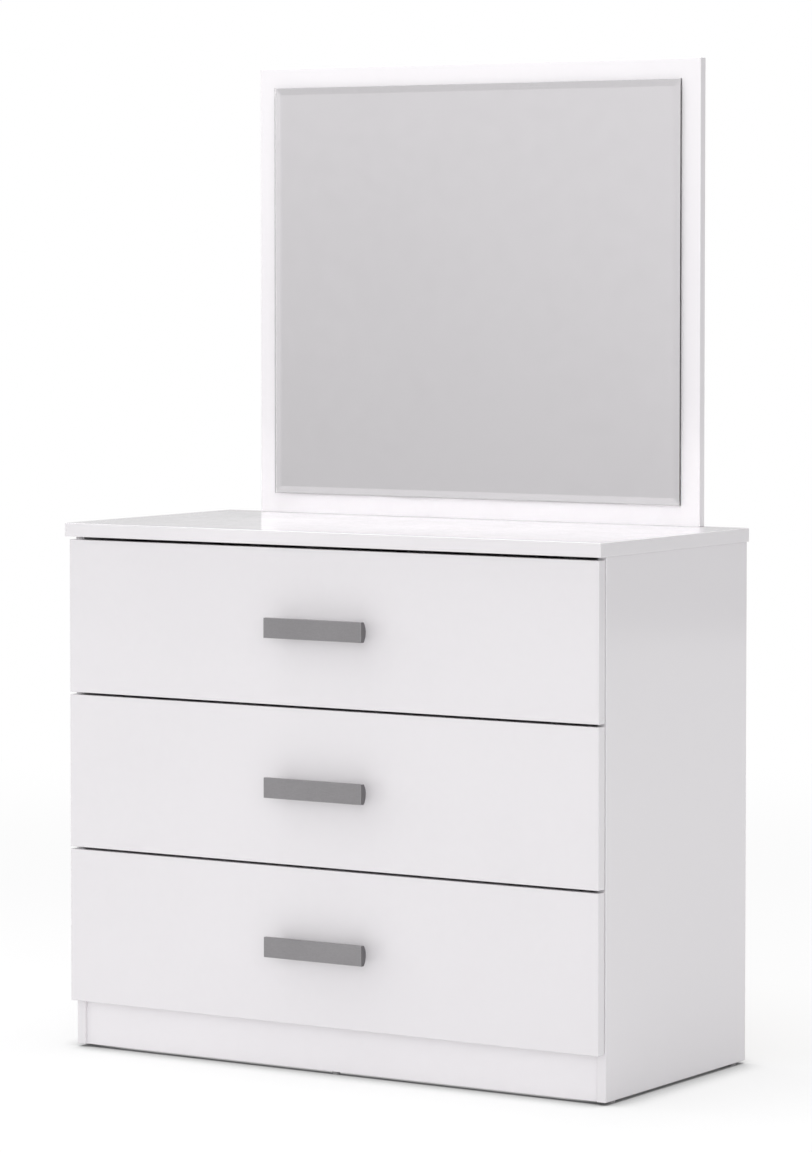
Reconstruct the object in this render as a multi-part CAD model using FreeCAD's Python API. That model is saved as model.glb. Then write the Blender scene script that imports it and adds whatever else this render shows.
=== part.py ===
"""Dressing table: a chest of three drawers with a bevelled mirror board standing on its top.

All lengths are millimetres. X runs to the right as one faces the drawers, Y runs from the front
to the back and Z runs up. The origin is on the floor, midway across the width and midway between
the front faces of the handles and the rearmost screw heads.
"""

import FreeCAD
import Part
import math
import os

Vector = FreeCAD.Vector
RIGHT = Vector(1, 0, 0)
LEFT = Vector(-1, 0, 0)
BACK = Vector(0, 1, 0)
FRONT = Vector(0, -1, 0)
UP = Vector(0, 0, 1)
DOWN = Vector(0, 0, -1)

# Chest
carcass_width = 1000.0
side_depth = 447.0
board = 16.0
edge_round = 1.0
top_thickness = 22.0
top_side_overhang = 4.0
top_front_overhang = 25.0
plinth_height = 74.0
plinth_setback = 5.0
rear_rail_height = 100.0
hardboard = 3.0
back_side_inset = 2.0
back_foot_inset = 8.0
back_top_lap = 12.0

# Floor glides, moulded pads with a nail
glide_radius = 7.0
glide_height = 5.0
glide_nail_radius = 1.0
glide_nail_length = 14.0
glide_inset = 30.0

# Drawer fronts
drawer_names = ("upper", "middle", "lower")
front_height = 249.0
front_spacing = 4.0
front_thickness = 19.0
front_gap = 1.0
front_side_reveal = 2.0
top_reveal = 5.0

# Drawer boxes
box_board = 16.0
box_height = 170.0
box_lift = 28.0
box_side_gap = 12.5
box_rear_gap = 47.0
bottom_lift = 10.0
groove_depth = 6.0
groove_clearance = 0.2

# Handles: a bar with a flat face and a bowed back, on two posts
handle_length = 184.0
handle_height = 32.0
handle_projection = 36.0
handle_thickness = 13.6
handle_lip = 7.5
handle_round = 0.8
post_radius = 6.0
post_spacing = 128.0

# Roller runners: a channel on the cabinet side and a rail under the drawer side
sheet = 1.2
runner_front_inset = 2.0
runner_web_gap = 0.8
rail_foot_width = 10.0
roller_radius = 7.5
roller_width = 6.0
roller_play = 0.3
roller_end_play = 0.5
roller_inset = 12.0
roller_bore_clearance = 0.1
axle_radius = 2.5
axle_head_radius = 4.0
axle_head_thickness = 0.8
axle_end_play = 0.3
rail_play = 0.6
drawer_travel = 300.0
stop_height = 4.0
stop_width = 5.0
stop_clearance = 0.5

# Mirror
mirror_width = 850.0
mirror_height = 750.0
mirror_setback = 5.0
glass_border = 33.0
glass_thickness = 5.0
bevel_width = 12.0
bevel_depth = 1.0
tape_thickness = 2.5
tape_width = 25.0
tape_margin = 40.0
strap_width = 25.0
strap_thickness = 2.0
strap_spacing = 500.0
strap_upper_leg = 160.0
strap_joggle_low = 6.0
strap_joggle_high = 22.0
strap_lower_share = 0.35

# Fasteners
fit_clearance = 0.05
end_clearance = 1.0
dowel_radius = 4.0
dowel_face_depth = 10.0
dowel_edge_depth = 20.0
dowel_chamfer = 0.8
bolt_thread_radius = 2.5
bolt_thread_length = 10.0
bolt_shank_radius = 3.0
bolt_neck_radius = 2.0
bolt_neck_length = 4.0
bolt_head_radius = 3.0
bolt_head_length = 2.5
cam_radius = 7.5
cam_depth = 12.5
cam_distance = 34.0
cam_slot_width = 1.6
cam_slot_depth = 2.0
screw_radius = 1.75
screw_length = 15.0
screw_tip_length = 4.0
screw_head_radius = 3.5
screw_head_height = 1.6
cross_recess_width = 0.8
cross_recess_depth = 0.9
cross_recess_share = 0.6
confirmat_radius = 3.5
confirmat_core_radius = 2.5
confirmat_length = 50.0
confirmat_neck_length = 12.0
confirmat_head_radius = 5.0
confirmat_head_length = 3.5
confirmat_socket_radius = 2.0
confirmat_socket_depth = 2.5
handle_screw_radius = 2.0
handle_screw_length = 28.0
handle_screw_head_radius = 4.0
handle_screw_head_height = 2.2
nail_radius = 0.6
nail_length = 15.0
nail_head_radius = 1.6
nail_head_height = 0.5

# Places of the fasteners, as shares of the edge that they hold
side_cam_shares = (0.12, 0.88)
side_dowel_shares = (0.3, 0.7)
rail_cam_shares = (0.5,)
rail_dowel_shares = (0.2, 0.8)
plinth_cam_shares = (0.35,)
plinth_dowel_shares = (0.75,)
cross_dowel_shares = (0.2, 0.5, 0.8)
mirror_dowel_shares = (0.25, 0.75)
box_cam_shares = (0.3, 0.8)
box_back_screw_shares = (0.25, 0.8)
box_bottom_screw_shares = (0.1, 0.37, 0.63, 0.9)
runner_screw_shares = (0.12, 0.5, 0.88)
rail_screw_shares = (0.2, 0.55, 0.85)
strap_screw_shares = (0.35, 0.85)
nail_column_count = 6
nail_column_first_share = 0.1
nail_column_last_share = 0.97
nail_row_count = 8
nail_row_first_share = 0.09
nail_row_last_share = 0.91
nail_rail_share = 0.15
nail_plinth_share = 0.5
tape_shares = (0.08, 0.36, 0.64, 0.92)

# Heights and depths that follow from the sizes above
drawer_count = len(drawer_names)
side_height = (
    plinth_height + drawer_count * front_height
    + (drawer_count - 1) * front_spacing + top_reveal
)
side_foot_z = glide_height
side_top_z = side_foot_z + side_height
top_z = side_top_z + top_thickness
half_width = carcass_width / 2
half_inner_width = half_width - board
depth_in_front = front_gap + front_thickness + handle_projection
depth_behind = side_depth + hardboard + strap_thickness + screw_head_height
side_front_y = (depth_in_front - depth_behind) / 2
side_back_y = side_front_y + side_depth
back_rear_y = side_back_y + hardboard
front_back_y = side_front_y - front_gap
front_face_y = front_back_y - front_thickness
runner_length = side_depth - box_rear_gap
half_box_width = half_inner_width - box_side_gap
box_back_y = front_back_y + runner_length
board_middle_x = half_width - board / 2
mirror_back_y = side_back_y - mirror_setback
mirror_front_y = mirror_back_y - board
glass_back_y = mirror_front_y - tape_thickness


def from_low(low, length):
    """Span that starts at low and is length long."""
    return (low, low + length)


def to_high(high, length):
    """Span that ends at high and is length long."""
    return (high - length, high)


def centred(length, middle=0.0):
    """Span of a length about its middle."""
    return (middle - length / 2, middle + length / 2)


def share_of(span, share):
    """Place at a share of the way along a span."""
    return span[0] + (span[1] - span[0]) * share


def block(x_span, y_span, z_span):
    """Block between two planes on each axis."""
    corner = Vector(x_span[0], y_span[0], z_span[0])
    return Part.makeBox(
        x_span[1] - x_span[0], y_span[1] - y_span[0], z_span[1] - z_span[0], corner
    )


def edged_board(x_span, y_span, z_span):
    """Board with the small round of its edging on every edge."""
    shape = block(x_span, y_span, z_span)
    return shape.makeFillet(edge_round, shape.Edges)


def turned(start, steps):
    """Solid of revolution about Z, from steps of (length, radius at its start, at its end)."""
    height = start
    points = [Vector(0, 0, start)]
    for length, first_radius, last_radius in steps:
        points.append(Vector(first_radius, 0, height))
        height += length
        points.append(Vector(last_radius, 0, height))
    points.append(Vector(0, 0, height))
    outline = [points[0]]
    for point in points[1:]:
        if (point - outline[-1]).Length > 0:
            outline.append(point)
    face = Part.Face(Part.makePolygon(outline + [outline[0]]))
    return face.revolve(Vector(0, 0, 0), UP, 360)


def bore(radius, low, high):
    """Drilled hole about Z from low to high, with the clearance of a fit."""
    return turned(low, [(high - low, radius + fit_clearance, radius + fit_clearance)])


def placed(shape, origin, axis, across):
    """Copy of a shape with its Z laid along axis and its X along across."""
    copy = shape.copy()
    place = FreeCAD.Placement(origin, FreeCAD.Rotation(across, axis.cross(across), axis))
    copy.Placement = place.multiply(shape.Placement)
    return copy


def mirrored(shape):
    """Copy of a shape on the other side of the middle plane."""
    return shape.mirror(Vector(0, 0, 0), RIGHT)


def with_mirrored(shapes):
    """Shapes of the left half with their copies on the right."""
    return list(shapes) + [mirrored(shape) for shape in shapes]


def drilled(shape, cutters):
    """Shape with every cutter that reaches it taken out."""
    near = [cutter for cutter in cutters if shape.BoundBox.intersect(cutter.BoundBox)]
    if not near:
        return shape
    return shape.cut(near)


def extruded(points, vector):
    """Prism over a closed outline of points."""
    return Part.Face(Part.makePolygon(points + [points[0]])).extrude(vector)


def cross_recess(head_radius, head_top):
    """Cross-shaped driver recess in the top of a head about Z."""
    arm = head_radius * 2 * cross_recess_share
    depth = to_high(head_top, cross_recess_depth)
    first = block(centred(arm), centred(cross_recess_width), depth)
    second = block(centred(cross_recess_width), centred(arm), depth)
    return first.fuse(second)


def make_dowel():
    """Wooden dowel through the joint plane at z = 0."""
    body = dowel_face_depth + dowel_edge_depth - 2 * dowel_chamfer
    tip_radius = dowel_radius - dowel_chamfer
    return turned(-dowel_face_depth, [
        (dowel_chamfer, tip_radius, dowel_radius),
        (body, dowel_radius, dowel_radius),
        (dowel_chamfer, dowel_radius, tip_radius),
    ])


def make_dowel_hole():
    """Holes of a dowel in the face of one board and the edge of the other."""
    return bore(dowel_radius, -dowel_face_depth - end_clearance, dowel_edge_depth + end_clearance)


def make_cam_bolt():
    """Bolt that screws into a board face at z < 0 and ends in the head that the cam grips."""
    shank = cam_distance - bolt_neck_length - bolt_head_length / 2
    return turned(-bolt_thread_length, [
        (bolt_thread_length, bolt_thread_radius, bolt_thread_radius),
        (shank, bolt_shank_radius, bolt_shank_radius),
        (bolt_neck_length, bolt_neck_radius, bolt_neck_radius),
        (bolt_head_length, bolt_head_radius, bolt_head_radius),
    ])


def cam_bolt_passage():
    """Hole of the bolt in the edge of the board that holds the cam."""
    return bore(bolt_shank_radius, 0, cam_distance + bolt_head_length / 2 + end_clearance)


def along_y(shape, height, face_offset):
    """Shape turned about Z, laid with its mouth towards +Y at a face, about the given height."""
    return placed(shape, Vector(0, face_offset, height), BACK, RIGHT)


def make_cam_lock(face_offset):
    """Cam drum in the face at +Y of the board, bored for the bolt and slotted for a driver."""
    drum = along_y(turned(-cam_depth, [(cam_depth, cam_radius, cam_radius)]), cam_distance, face_offset)
    slot = block(
        centred(cam_radius * 2 * cross_recess_share),
        to_high(face_offset, cam_slot_depth),
        centred(cam_slot_width, cam_distance),
    )
    return drum.cut([cam_bolt_passage(), slot])


def cam_holes(face_offset):
    """Everything that is drilled for one cam and its bolt."""
    pocket = along_y(bore(cam_radius, -cam_depth, end_clearance), cam_distance, face_offset)
    thread = bore(bolt_thread_radius, -bolt_thread_length - end_clearance, 0)
    return [pocket, thread, cam_bolt_passage()]


def make_screw():
    """Pan-head screw whose head rests on z = 0, with its point down."""
    body = screw_length - screw_tip_length
    core = turned(-screw_length, [
        (screw_tip_length, 0, screw_radius),
        (body, screw_radius, screw_radius),
        (screw_head_height, screw_head_radius, screw_head_radius - cross_recess_width),
    ])
    return core.cut(cross_recess(screw_head_radius, screw_head_height))


def make_screw_hole():
    """Hole of a screw."""
    return bore(screw_radius, -screw_length, 0)


def make_confirmat():
    """Carcase screw with its flat head sunk flush with z = 0."""
    neck = confirmat_neck_length
    thread = confirmat_length - confirmat_head_length - neck - confirmat_core_radius
    screw = turned(-confirmat_length, [
        (confirmat_core_radius, 0, confirmat_core_radius),
        (thread, confirmat_core_radius, confirmat_core_radius),
        (neck, confirmat_radius, confirmat_radius),
        (confirmat_head_length, confirmat_radius, confirmat_head_radius),
    ])
    corners = [
        Vector(confirmat_socket_radius * math.cos(turn), confirmat_socket_radius * math.sin(turn), 0)
        for turn in (math.radians(60 * corner) for corner in range(6))
    ]
    return screw.cut(extruded(corners, DOWN * confirmat_socket_depth))


def make_confirmat_hole():
    """Stepped hole of a carcase screw."""
    neck = confirmat_neck_length
    thread = confirmat_length - confirmat_head_length - neck + end_clearance
    core = confirmat_core_radius + fit_clearance
    shank = confirmat_radius + fit_clearance
    return turned(-confirmat_length - end_clearance, [
        (thread, core, core),
        (neck, shank, shank),
        (confirmat_head_length, shank, confirmat_head_radius + fit_clearance),
    ])


def make_handle_screw():
    """Machine screw whose head rests on z = 0."""
    core = turned(-handle_screw_length, [
        (handle_screw_length, handle_screw_radius, handle_screw_radius),
        (handle_screw_head_height, handle_screw_head_radius, handle_screw_head_radius),
    ])
    return core.cut(cross_recess(handle_screw_head_radius, handle_screw_head_height))


def make_handle_screw_hole():
    """Hole of a handle screw through the front and into the post."""
    return bore(handle_screw_radius, -handle_screw_length - end_clearance, 0)


def make_nail():
    """Flat-headed nail whose head rests on z = 0."""
    return turned(-nail_length, [
        (nail_radius, 0, nail_radius),
        (nail_length - nail_radius, nail_radius, nail_radius),
        (nail_head_height, nail_head_radius, nail_head_radius),
    ])


def make_nail_hole():
    """Hole of a nail."""
    return bore(nail_radius, -nail_length, 0)


class Fixings:
    """Fasteners of one kind, with the holes that they need."""

    def __init__(self):
        self.solids = []
        self.holes = []

    def add(self, solid, holes, origin, axis, across):
        """Places one fastener and its holes."""
        self.solids.append(placed(solid, origin, axis, across))
        self.holes.extend(placed(hole, origin, axis, across) for hole in holes)

    def add_mirrored(self):
        """Repeats everything on the other side of the middle plane."""
        self.solids = with_mirrored(self.solids)
        self.holes = with_mirrored(self.holes)


def add_cams(fixings, places, axis, mouth, board_thickness):
    """Cam fittings at places on a joint plane, with axis into the board that holds the cam."""
    offset = board_thickness / 2
    for place in places:
        across = mouth.cross(axis)
        holes = cam_holes(offset)
        fixings.add(make_cam_bolt(), holes, place, axis, across)
        fixings.solids.append(placed(make_cam_lock(offset), place, axis, across))


def add_dowels(fixings, places, axis, across):
    """Dowels at places on a joint plane, with axis into the board edge."""
    for place in places:
        fixings.add(make_dowel(), [make_dowel_hole()], place, axis, across)


def add_screws(fixings, places, outward, across):
    """Pan-head screws at places, with their heads standing outward."""
    for place in places:
        fixings.add(make_screw(), [make_screw_hole()], place, outward, across)


# Spans of the boards

side_y = (side_front_y, side_back_y)
side_z = (side_foot_z, side_top_z)
side_x = from_low(-half_width, board)
inner_x = (-half_inner_width, half_inner_width)
plinth_z = from_low(side_foot_z, plinth_height)
bottom_z = from_low(plinth_z[1], board)
rail_z = to_high(side_top_z, rear_rail_height)
front_plinth_y = from_low(side_front_y + plinth_setback, board)
rear_board_y = to_high(side_back_y, board)
front_plinth_middle_y = front_plinth_y[0] + board / 2
rear_board_middle_y = side_back_y - board / 2
bottom_middle_z = bottom_z[0] + board / 2


def carcass_cams():
    """Cam fittings that hold the boards of the chest together."""
    cams = Fixings()
    top_places = [Vector(-board_middle_x, share_of(side_y, s), side_top_z) for s in side_cam_shares]
    add_cams(cams, top_places, DOWN, RIGHT, board)
    bottom_places = [
        Vector(-half_inner_width, share_of(side_y, s), bottom_middle_z) for s in side_cam_shares
    ]
    add_cams(cams, bottom_places, RIGHT, DOWN, board)
    rail_places = [
        Vector(-half_inner_width, rear_board_middle_y, share_of(rail_z, s)) for s in rail_cam_shares
    ]
    add_cams(cams, rail_places, RIGHT, FRONT, board)
    for middle_y, mouth in ((front_plinth_middle_y, BACK), (rear_board_middle_y, FRONT)):
        places = [
            Vector(-half_inner_width, middle_y, share_of(plinth_z, s)) for s in plinth_cam_shares
        ]
        add_cams(cams, places, RIGHT, mouth, board)
    cams.add_mirrored()
    return cams


def carcass_dowels():
    """Dowels between the boards of the chest, and in the foot of the mirror board."""
    dowels = Fixings()
    top_places = [Vector(-board_middle_x, share_of(side_y, s), side_top_z) for s in side_dowel_shares]
    add_dowels(dowels, top_places, DOWN, RIGHT)
    end_places = [
        Vector(-half_inner_width, share_of(side_y, s), bottom_middle_z) for s in side_dowel_shares
    ]
    end_places += [
        Vector(-half_inner_width, rear_board_middle_y, share_of(rail_z, s)) for s in rail_dowel_shares
    ]
    for middle_y in (front_plinth_middle_y, rear_board_middle_y):
        end_places += [
            Vector(-half_inner_width, middle_y, share_of(plinth_z, s)) for s in plinth_dowel_shares
        ]
    add_dowels(dowels, end_places, RIGHT, UP)
    dowels.add_mirrored()
    cross_x = [share_of(inner_x, s) for s in cross_dowel_shares]
    cross_places = [Vector(x, rear_board_middle_y, side_top_z) for x in cross_x]
    for middle_y in (front_plinth_middle_y, rear_board_middle_y):
        cross_places += [Vector(x, middle_y, bottom_z[0]) for x in cross_x]
    add_dowels(dowels, cross_places, DOWN, RIGHT)
    mirror_places = [
        Vector(share_of(centred(mirror_width), s), mirror_back_y - board / 2, top_z)
        for s in mirror_dowel_shares
    ]
    add_dowels(dowels, mirror_places, UP, RIGHT)
    return dowels


def even_shares(count, first_share, last_share):
    """Evenly spaced shares from the first to the last."""
    step = (last_share - first_share) / (count - 1)
    return [first_share + step * number for number in range(count)]


def back_nails():
    """Nails that hold the hardboard back to the sides, the rail and the rear plinth."""
    nails = Fixings()
    column_z = (bottom_z[1], rail_z[0])
    column_shares = even_shares(nail_column_count, nail_column_first_share, nail_column_last_share)
    places = [
        Vector(x, back_rear_y, share_of(column_z, s))
        for x in (-board_middle_x, board_middle_x) for s in column_shares
    ]
    row_shares = even_shares(nail_row_count, nail_row_first_share, nail_row_last_share)
    row_heights = (share_of(rail_z, nail_rail_share), share_of(plinth_z, nail_plinth_share))
    places += [Vector(share_of(inner_x, s), back_rear_y, z) for z in row_heights for s in row_shares]
    for place in places:
        nails.add(make_nail(), [make_nail_hole()], place, BACK, RIGHT)
    return nails


def floor_glides():
    """Moulded glides under the sides and the plinths, each with its nail."""
    glides = Fixings()
    pad = turned(-glide_height, [
        (glide_height, glide_radius - edge_round, glide_radius),
        (glide_nail_length - glide_nail_radius, glide_nail_radius, glide_nail_radius),
        (glide_nail_radius, glide_nail_radius, 0),
    ])
    hole = bore(glide_nail_radius, 0, glide_nail_length + end_clearance)
    side_places = [
        Vector(x, y, side_foot_z)
        for x in (-board_middle_x, board_middle_x)
        for y in (side_front_y + glide_inset, side_back_y - glide_inset)
    ]
    plinth_places = [
        Vector(0, y, side_foot_z) for y in (front_plinth_middle_y, rear_board_middle_y)
    ]
    for place in side_places + plinth_places:
        glides.add(pad, [hole], place, UP, RIGHT)
    return glides


def strap_foot_z():
    """Height of the lower end of the mirror straps."""
    return share_of(rail_z, strap_lower_share)


def mirror_strap(middle_x):
    """Joggled flat strap from the back of the mirror board down behind the chest."""
    inner = [
        (mirror_back_y, top_z + strap_joggle_high + strap_upper_leg),
        (mirror_back_y, top_z + strap_joggle_high),
        (back_rear_y, top_z + strap_joggle_low),
        (back_rear_y, strap_foot_z()),
    ]
    outer = [(y + strap_thickness, z) for y, z in reversed(inner)]
    x = middle_x - strap_width / 2
    return extruded([Vector(x, y, z) for y, z in inner + outer], RIGHT * strap_width)


def strap_screws():
    """Screws of the straps, into the mirror board and through the back into the rail."""
    screws = Fixings()
    upper_leg = from_low(top_z + strap_joggle_high, strap_upper_leg)
    lower_leg = (strap_foot_z(), side_top_z)
    for x in centred(strap_spacing):
        upper = [
            Vector(x, mirror_back_y + strap_thickness, share_of(upper_leg, s))
            for s in strap_screw_shares
        ]
        lower = [
            Vector(x, back_rear_y + strap_thickness, share_of(lower_leg, s))
            for s in (1 - s for s in strap_screw_shares)
        ]
        add_screws(screws, upper + lower, BACK, RIGHT)
    return screws


def mirror_glass():
    """Mirror glass with a wide bevel round its front face."""
    half_x = mirror_width / 2 - glass_border
    low_z = top_z + glass_border
    high_z = top_z + mirror_height - glass_border
    bevel_y = glass_back_y - glass_thickness + bevel_depth
    slab = block((-half_x, half_x), (bevel_y, glass_back_y), (low_z, high_z))
    rims = []
    for inset, y in ((0, bevel_y), (bevel_width, bevel_y - bevel_depth)):
        corners = [
            Vector(-half_x + inset, y, low_z + inset),
            Vector(half_x - inset, y, low_z + inset),
            Vector(half_x - inset, y, high_z - inset),
            Vector(-half_x + inset, y, high_z - inset),
        ]
        rims.append(Part.makePolygon(corners + [corners[0]]))
    bevel = Part.makeLoft(rims, True, True)
    return slab.fuse(bevel).removeSplitter()


def mirror_tape():
    """Foam tape strips between the glass and the board."""
    glass_x = centred(mirror_width - 2 * glass_border)
    z = (top_z + glass_border + tape_margin, top_z + mirror_height - glass_border - tape_margin)
    y = (glass_back_y, mirror_front_y)
    return [block(centred(tape_width, share_of(glass_x, s)), y, z) for s in tape_shares]


def front_low_z(number):
    """Height of the lower edge of a drawer front, counted from the top."""
    below = drawer_count - 1 - number
    return plinth_z[1] + below * (front_height + front_spacing)


def box_low_z(number):
    """Height of the lower edge of a drawer box."""
    return front_low_z(number) + box_lift


# Heights in a runner, above the lower edge of the drawer box
track_top = roller_end_play
rear_roller_height = track_top + roller_play + roller_radius
rail_flange_low = rear_roller_height + roller_radius + roller_end_play
front_roller_height = rail_flange_low - roller_play - roller_radius
channel_top = rail_flange_low + sheet + rail_play

runner_y = from_low(side_front_y + runner_front_inset, runner_length)
rail_y = (front_back_y, box_back_y)
front_roller_y = runner_y[0] + roller_inset
rear_roller_y = box_back_y - roller_inset
flange_x = (-half_inner_width, -half_box_width - sheet - runner_web_gap)
web_x = -half_inner_width + sheet


def runner_channel(number):
    """Left channel: web on the cabinet side, track below, anti-tip flange above, stop tab."""
    base = box_low_z(number)
    outline = [
        (flange_x[0], track_top - sheet),
        (flange_x[1], track_top - sheet),
        (flange_x[1], track_top),
        (web_x, track_top),
        (web_x, channel_top),
        (flange_x[1], channel_top),
        (flange_x[1], channel_top + sheet),
        (flange_x[0], channel_top + sheet),
    ]
    points = [Vector(x, runner_y[0], base + z) for x, z in outline]
    channel = extruded(points, BACK * runner_length)
    rise = stop_height - roller_play
    reach = math.sqrt(roller_radius ** 2 - (roller_radius - rise) ** 2)
    stop_y = rear_roller_y - drawer_travel - reach - stop_clearance
    stop_x = centred(stop_width, (flange_x[0] + flange_x[1]) / 2)
    tab = block(stop_x, to_high(stop_y, sheet), from_low(base + track_top, stop_height))
    return channel.fuse(tab)


def front_axle():
    """Riveted axle from the channel web, along +Z, with its head beyond the roller."""
    collar = roller_end_play
    return turned(0, [
        (collar, axle_head_radius, axle_head_radius),
        (roller_width + 2 * axle_end_play, axle_radius, axle_radius),
        (axle_head_thickness, axle_head_radius, axle_head_radius),
    ])


def roller():
    """Plastic roller about Z, standing where its axle leaves play at both ends."""
    low = roller_end_play + axle_end_play
    wheel = turned(low, [
        (edge_round, roller_radius - edge_round, roller_radius),
        (roller_width - 2 * edge_round, roller_radius, roller_radius),
        (edge_round, roller_radius, roller_radius - edge_round),
    ])
    hole_radius = axle_radius + roller_bore_clearance
    return wheel.cut(turned(0, [(low + roller_width + end_clearance, hole_radius, hole_radius)]))


def drawer_rail(number):
    """Left rail: foot under the drawer side, web beside it and the flange that rolls."""
    base = box_low_z(number)
    outer_x = -half_box_width
    web_outer = outer_x - sheet
    flange_end = web_x + sheet + axle_end_play
    outline = [
        (outer_x + rail_foot_width, -sheet),
        (outer_x + rail_foot_width, 0),
        (outer_x, 0),
        (outer_x, rail_flange_low + sheet),
        (flange_end, rail_flange_low + sheet),
        (flange_end, rail_flange_low),
        (web_outer, rail_flange_low),
        (web_outer, -sheet),
    ]
    points = [Vector(x, rail_y[0], base + z) for x, z in outline]
    return extruded(points, BACK * runner_length)


def front_roller_place(number):
    """Where the left front axle leaves the channel web."""
    return Vector(web_x, front_roller_y, box_low_z(number) + front_roller_height)


def rear_roller_place(number):
    """Where the left rear axle leaves the web of the drawer rail."""
    return Vector(-half_box_width - sheet, rear_roller_y, box_low_z(number) + rear_roller_height)


def runner_screws():
    """Screws of all the channels, into the cabinet sides."""
    screws = Fixings()
    for number in range(drawer_count):
        height = box_low_z(number) + front_roller_height
        places = [Vector(web_x, share_of(runner_y, s), height) for s in runner_screw_shares]
        add_screws(screws, places, RIGHT, BACK)
    screws.add_mirrored()
    return screws


def drawer_front(number, holes):
    """Drawer front with the groove that takes the front edge of the bottom."""
    low = front_low_z(number)
    shape = edged_board(
        centred(carcass_width - 2 * front_side_reveal),
        (front_face_y, front_back_y),
        from_low(low, front_height),
    )
    groove = block(
        centred(2 * (half_box_width - box_board + groove_depth)),
        to_high(front_back_y + end_clearance, groove_depth + end_clearance),
        from_low(box_low_z(number) + bottom_lift, hardboard + groove_clearance),
    )
    return drilled(shape, holes + [groove])


def drawer_side(number, holes):
    """Left drawer side with the groove of the bottom along its inner face."""
    base = box_low_z(number)
    inner = -half_box_width + box_board
    shape = block((-half_box_width, inner), rail_y, from_low(base, box_height))
    groove = block(
        (inner - groove_depth, inner + end_clearance),
        rail_y,
        from_low(base + bottom_lift, hardboard + groove_clearance),
    )
    return drilled(shape, holes + [groove])


def drawer_back(number, holes):
    """Drawer back, standing on the bottom between the sides."""
    base = box_low_z(number)
    shape = block(
        centred(2 * (half_box_width - box_board)),
        to_high(box_back_y, box_board),
        (base + bottom_lift + hardboard, base + box_height),
    )
    return drilled(shape, holes)


def drawer_bottom(number, holes):
    """Hardboard bottom in the grooves, passing under the back."""
    side_reach = half_box_width - box_board + groove_depth - groove_clearance
    shape = block(
        (-side_reach, side_reach),
        (front_back_y - groove_depth + groove_clearance, box_back_y),
        from_low(box_low_z(number) + bottom_lift, hardboard),
    )
    return drilled(shape, holes)


def drawer_handle(number, holes):
    """Bar handle with a flat face, a bowed back and two posts, as one casting."""
    middle_z = front_low_z(number) + front_height / 2
    bar_front = front_face_y - handle_projection
    half = handle_height / 2
    x = -handle_length / 2
    face_top = Vector(x, bar_front, middle_z + half)
    lip_top = Vector(x, bar_front + handle_lip, middle_z + half)
    crown = Vector(x, bar_front + handle_thickness, middle_z)
    lip_foot = Vector(x, bar_front + handle_lip, middle_z - half)
    face_foot = Vector(x, bar_front, middle_z - half)
    outline = Part.Wire([
        Part.LineSegment(face_top, lip_top).toShape(),
        Part.Arc(lip_top, crown, lip_foot).toShape(),
        Part.LineSegment(lip_foot, face_foot).toShape(),
        Part.LineSegment(face_foot, face_top).toShape(),
    ])
    bar = Part.Face(outline).extrude(RIGHT * handle_length)
    bar = bar.makeFillet(handle_round, face_edges(bar, bar_front))
    post_length = handle_projection - handle_thickness / 2
    posts = [
        placed(turned(0, [(post_length, post_radius, post_radius)]),
               Vector(post_x, front_face_y, middle_z), FRONT, RIGHT)
        for post_x in centred(post_spacing)
    ]
    return drilled(bar.fuse(posts), holes)


def face_edges(shape, y):
    """Edges of a shape that lie in the plane at y."""
    return [
        edge for edge in shape.Edges
        if all(abs(vertex.Y - y) < handle_round for vertex in edge.Vertexes)
    ]


def handle_screws(number):
    """Screws of one handle, with their heads on the inner face of the front."""
    screws = Fixings()
    middle_z = front_low_z(number) + front_height / 2
    for x in centred(post_spacing):
        place = Vector(x, front_back_y, middle_z)
        screws.add(make_handle_screw(), [make_handle_screw_hole()], place, BACK, RIGHT)
    return screws


def drawer_fixings(number):
    """Cam fittings, carcase screws and small screws that hold one drawer together."""
    fixings = Fixings()
    base = box_low_z(number)
    box_z = from_low(base, box_height)
    side_middle_x = -half_box_width + box_board / 2
    cam_places = [Vector(side_middle_x, front_back_y, share_of(box_z, s)) for s in box_cam_shares]
    add_cams(fixings, cam_places, BACK, RIGHT, box_board)
    back_middle_y = box_back_y - box_board / 2
    back_z = (base + bottom_lift + hardboard, base + box_height)
    for share in box_back_screw_shares:
        place = Vector(-half_box_width, back_middle_y, share_of(back_z, share))
        fixings.add(make_confirmat(), [make_confirmat_hole()], place, LEFT, UP)
    foot_x = -half_box_width + rail_foot_width / 2
    foot_places = [Vector(foot_x, share_of(rail_y, s), base - sheet) for s in rail_screw_shares]
    add_screws(fixings, foot_places, DOWN, RIGHT)
    fixings.add_mirrored()
    box_inner_x = centred(2 * (half_box_width - box_board))
    bottom_places = [
        Vector(share_of(box_inner_x, s), back_middle_y, base + bottom_lift)
        for s in box_bottom_screw_shares
    ]
    add_screws(fixings, bottom_places, DOWN, RIGHT)
    return fixings


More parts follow.
